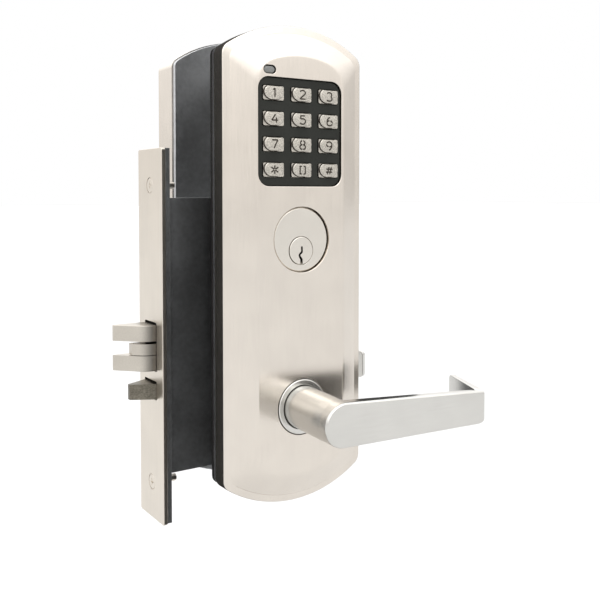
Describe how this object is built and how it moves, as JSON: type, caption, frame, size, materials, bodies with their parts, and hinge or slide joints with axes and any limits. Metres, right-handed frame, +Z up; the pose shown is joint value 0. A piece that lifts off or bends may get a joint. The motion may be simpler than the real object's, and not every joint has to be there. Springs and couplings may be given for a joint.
{
  "type": "keypad smart lock",
  "caption": "Mortise door lock with a keypad trim, key cylinder and lever outside, a latch and guard bolt in the door edge, and a battery trim and lever inside.",
  "frame": {"origin": "where the levers' axis crosses the door's outside face", "axes": "+Z up, +Y from the outside of the door to the inside, +X along the door from the latch edge towards the hinges"},
  "size_m": [0.2056, 0.1764, 0.2703],
  "materials": {
    "satin_trim": "satin, finely brushed upright",
    "satin_lever": "satin",
    "satin_key": "cast satin, dark engraved characters",
    "satin_cylinder": "satin",
    "satin_faceplate": "satin, brushed upright",
    "cast_latch": "satin cast steel",
    "dull_steel": "dull, brushed along",
    "zinc_steel": "zinc plated",
    "spring_steel": "drawn wire",
    "brass": "machined",
    "charcoal_plastic": "matt",
    "black_rubber": "matt",
    "smoked_lens": "clear grey plastic",
    "green_board": "solder mask",
    "grey_plastic": "moulded",
    "battery_sleeve": "plain printed sleeve"
  },
  "bodies": {
    "lock_body": {"battery_1": "battery_sleeve", "battery_2": "battery_sleeve", "battery_3": "battery_sleeve", "battery_4": "battery_sleeve", "battery_tray": "grey_plastic", "case_cover": "zinc_steel", "case_front": "zinc_steel", "clutch_motor": "zinc_steel", "control_board": "green_board", "cylinder_body": "satin_cylinder", "cylinder_set_screw": "zinc_steel", "escutcheon_screw_bottom": "zinc_steel", "escutcheon_screw_top": "zinc_steel", "faceplate": "satin_faceplate", "faceplate_screw_bottom": "satin_faceplate", "faceplate_screw_top": "satin_faceplate", "guard_spring": "spring_steel", "inside_escutcheon": "satin_trim", "inside_escutcheon_screw": "zinc_steel", "inside_mounting_plate": "zinc_steel", "inside_rose": "satin_lever", "keypad_circuit_board": "green_board", "keypad_membrane": "black_rubber", "keypad_panel": "charcoal_plastic", "latch_spring": "spring_steel", "led_lens": "smoked_lens", "lever_return_spring": "spring_steel", "lock_case": "zinc_steel", "outside_escutcheon": "satin_trim", "outside_gasket": "black_rubber", "outside_mounting_plate": "zinc_steel", "outside_rose": "satin_lever", "through_bolt_bottom": "zinc_steel", "through_bolt_top": "zinc_steel", "wire_harness": "black_rubber"},
    "outside_lever": {"outside_lever": "satin_lever", "outside_spindle": "zinc_steel", "outside_hub": "zinc_steel"},
    "inside_lever": {"inside_lever": "satin_lever", "inside_spindle": "zinc_steel", "inside_hub": "zinc_steel"},
    "latch": {"latch_bolt": "cast_latch", "latch_pin": "zinc_steel"},
    "latch_tongue": {"latch_tongue": "cast_latch"},
    "guard_bolt": {"guard_bolt": "dull_steel"},
    "cylinder_plug": {"cylinder_plug": "satin_cylinder", "cylinder_cam": "brass"},
    "battery_cover": {"battery_cover": "satin_trim"},
    "key_1": {"key_1": "satin_key"},
    "key_2": {"key_2": "satin_key"},
    "key_3": {"key_3": "satin_key"},
    "key_4": {"key_4": "satin_key"},
    "key_5": {"key_5": "satin_key"},
    "key_6": {"key_6": "satin_key"},
    "key_7": {"key_7": "satin_key"},
    "key_8": {"key_8": "satin_key"},
    "key_9": {"key_9": "satin_key"},
    "key_star": {"key_star": "satin_key"},
    "key_0": {"key_0": "satin_key"},
    "key_hash": {"key_hash": "satin_key"}
  },
  "joints": [
    {"name": "key_1_press", "type": "slide", "parent": "lock_body", "child": "key_1", "axis": [0, 1, 0], "range_m": [0, 0.0012], "stiffness_N_per_m": 600, "springref_m": -0.001},
    {"name": "key_2_press", "type": "slide", "parent": "lock_body", "child": "key_2", "axis": [0, 1, 0], "range_m": [0, 0.0012], "stiffness_N_per_m": 600, "springref_m": -0.001},
    {"name": "key_3_press", "type": "slide", "parent": "lock_body", "child": "key_3", "axis": [0, 1, 0], "range_m": [0, 0.0012], "stiffness_N_per_m": 600, "springref_m": -0.001},
    {"name": "key_4_press", "type": "slide", "parent": "lock_body", "child": "key_4", "axis": [0, 1, 0], "range_m": [0, 0.0012], "stiffness_N_per_m": 600, "springref_m": -0.001},
    {"name": "key_5_press", "type": "slide", "parent": "lock_body", "child": "key_5", "axis": [0, 1, 0], "range_m": [0, 0.0012], "stiffness_N_per_m": 600, "springref_m": -0.001},
    {"name": "key_6_press", "type": "slide", "parent": "lock_body", "child": "key_6", "axis": [0, 1, 0], "range_m": [0, 0.0012], "stiffness_N_per_m": 600, "springref_m": -0.001},
    {"name": "key_7_press", "type": "slide", "parent": "lock_body", "child": "key_7", "axis": [0, 1, 0], "range_m": [0, 0.0012], "stiffness_N_per_m": 600, "springref_m": -0.001},
    {"name": "key_8_press", "type": "slide", "parent": "lock_body", "child": "key_8", "axis": [0, 1, 0], "range_m": [0, 0.0012], "stiffness_N_per_m": 600, "springref_m": -0.001},
    {"name": "key_9_press", "type": "slide", "parent": "lock_body", "child": "key_9", "axis": [0, 1, 0], "range_m": [0, 0.0012], "stiffness_N_per_m": 600, "springref_m": -0.001},
    {"name": "key_star_press", "type": "slide", "parent": "lock_body", "child": "key_star", "axis": [0, 1, 0], "range_m": [0, 0.0012], "stiffness_N_per_m": 600, "springref_m": -0.001},
    {"name": "key_0_press", "type": "slide", "parent": "lock_body", "child": "key_0", "axis": [0, 1, 0], "range_m": [0, 0.0012], "stiffness_N_per_m": 600, "springref_m": -0.001},
    {"name": "key_hash_press", "type": "slide", "parent": "lock_body", "child": "key_hash", "axis": [0, 1, 0], "range_m": [0, 0.0012], "stiffness_N_per_m": 600, "springref_m": -0.001},
    {"name": "outside_lever_turn", "type": "hinge", "parent": "lock_body", "child": "outside_lever", "pos_m": [0, 0, 0], "axis": [0, 1, 0], "range_deg": [0, 45], "stiffness_Nm_per_rad": 1, "springref_deg": -34.38},
    {"name": "latch_retract", "type": "slide", "parent": "lock_body", "child": "latch", "axis": [1, 0, 0], "range_m": [0, 0.01905], "deforming": ["latch_spring"]},
    {"name": "latch_tongue_swing", "type": "hinge", "parent": "latch", "child": "latch_tongue", "pos_m": [-0.0635, 0.0255, 0.0336], "axis": [0, 0, -1], "range_deg": [0, 12]},
    {"name": "guard_bolt_slide", "type": "slide", "parent": "lock_body", "child": "guard_bolt", "axis": [1, 0, 0], "range_m": [0, 0.0125], "stiffness_N_per_m": 150, "springref_m": -0.01, "deforming": ["guard_spring"]},
    {"name": "cylinder_turn", "type": "hinge", "parent": "lock_body", "child": "cylinder_plug", "pos_m": [0, 0.026, 0.0861], "axis": [0, 1, 0], "continuous": true},
    {"name": "inside_lever_turn", "type": "hinge", "parent": "lock_body", "child": "inside_lever", "pos_m": [0, 0.04445, 0], "axis": [0, 1, 0], "range_deg": [0, 45], "stiffness_Nm_per_rad": 1, "springref_deg": -34.38},
    {"name": "battery_cover_pull", "type": "slide", "parent": "lock_body", "child": "battery_cover", "axis": [0, 1, 0], "range_m": [0, 0.03]}
  ],
  "couplings": [
    {"joint": "latch_retract", "follows": "outside_lever_turn", "m_per_rad": 0.02425}
  ]
}
